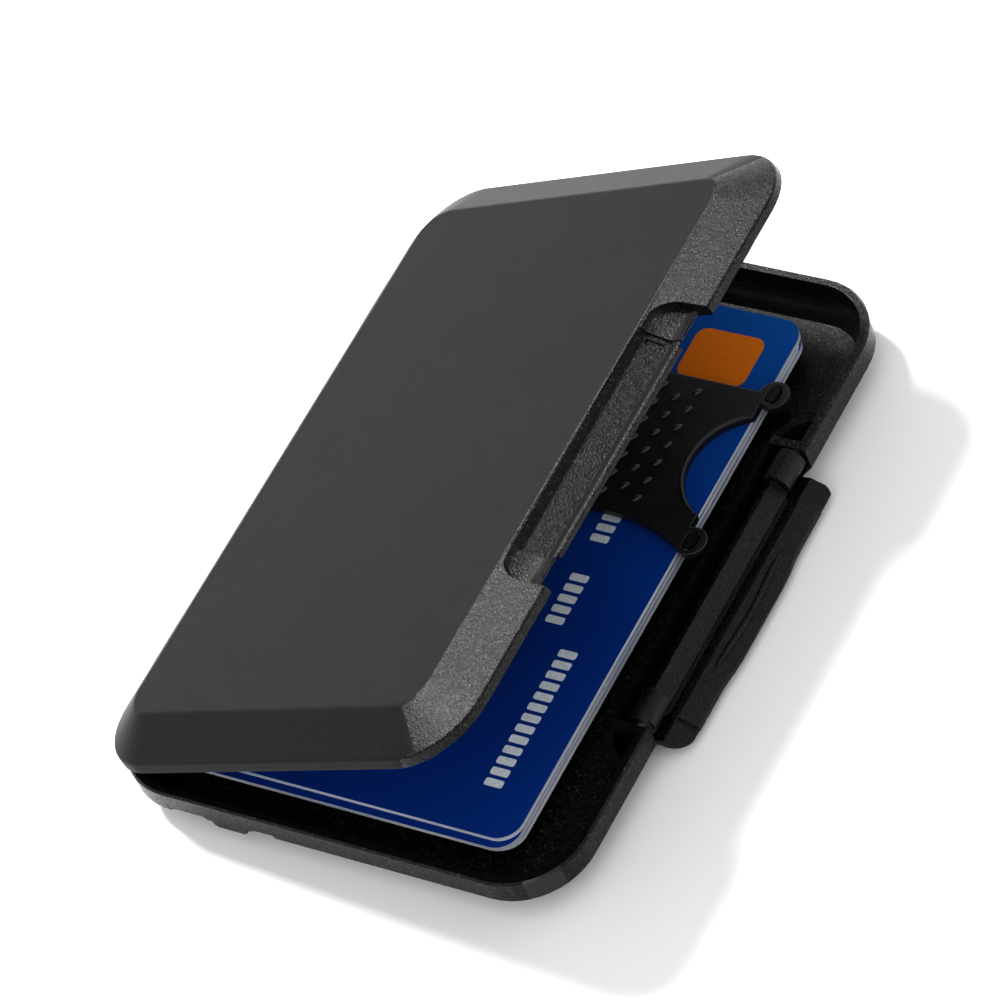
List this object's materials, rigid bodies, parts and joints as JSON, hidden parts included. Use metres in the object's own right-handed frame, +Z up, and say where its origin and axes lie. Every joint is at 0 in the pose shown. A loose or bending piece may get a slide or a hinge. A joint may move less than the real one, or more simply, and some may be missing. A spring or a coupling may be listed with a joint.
{
  "type": "hard-shell card wallet",
  "caption": "Slim rigid wallet: a hinged tray and chamfered lid shut by a side snap lever, with a rubber strap across stacked bank cards.",
  "frame": {"origin": "centre of the tray's flat underside", "axes": "+Z up out of the tray, +X from the hinge side to the lever side, +Y along the length towards the strap end; the rest pose has the lid part open and the lever hanging open"},
  "size_m": [0.074, 0.0996, 0.035],
  "materials": {
    "shell": "charcoal, fine leather-like grain on top, coarse spark texture on edges",
    "lever": "charcoal, coarse spark texture",
    "pin_steel": "ground",
    "strap_rubber": "matt",
    "post_plastic": "satin",
    "card_blue": "laminated, pale cut edges"
  },
  "bodies": {
    "tray": {"tray_shell": "shell", "hinge_pin_near": "pin_steel", "hinge_pin_far": "pin_steel", "latch_pin_near": "pin_steel", "latch_pin_far": "pin_steel", "card_strap": "strap_rubber", "strap_post_hinge_side_near": "post_plastic", "strap_post_hinge_side_far": "post_plastic", "strap_post_latch_side_near": "post_plastic", "strap_post_latch_side_far": "post_plastic", "card_2": "card_blue", "card_3": "card_blue"},
    "lid": {"lid_shell": "shell"},
    "lever": {"latch_lever": "lever"},
    "top_card": {"card_1": "card_blue"}
  },
  "joints": [
    {"name": "lid_hinge", "type": "hinge", "parent": "tray", "child": "lid", "pos_m": [-0.0346, 0, 0.0072], "axis": [0, -1, 0], "range_deg": [-22.15, 128]},
    {"name": "latch_hinge", "type": "hinge", "parent": "tray", "child": "lever", "pos_m": [0.03255, 0, 0.0059], "axis": [0, 1, 0], "range_deg": [-170, 0]},
    {"name": "top_card_slide", "type": "slide", "parent": "tray", "child": "top_card", "axis": [0, 1, 0], "range_m": [-0.0015, 0.003]}
  ]
}
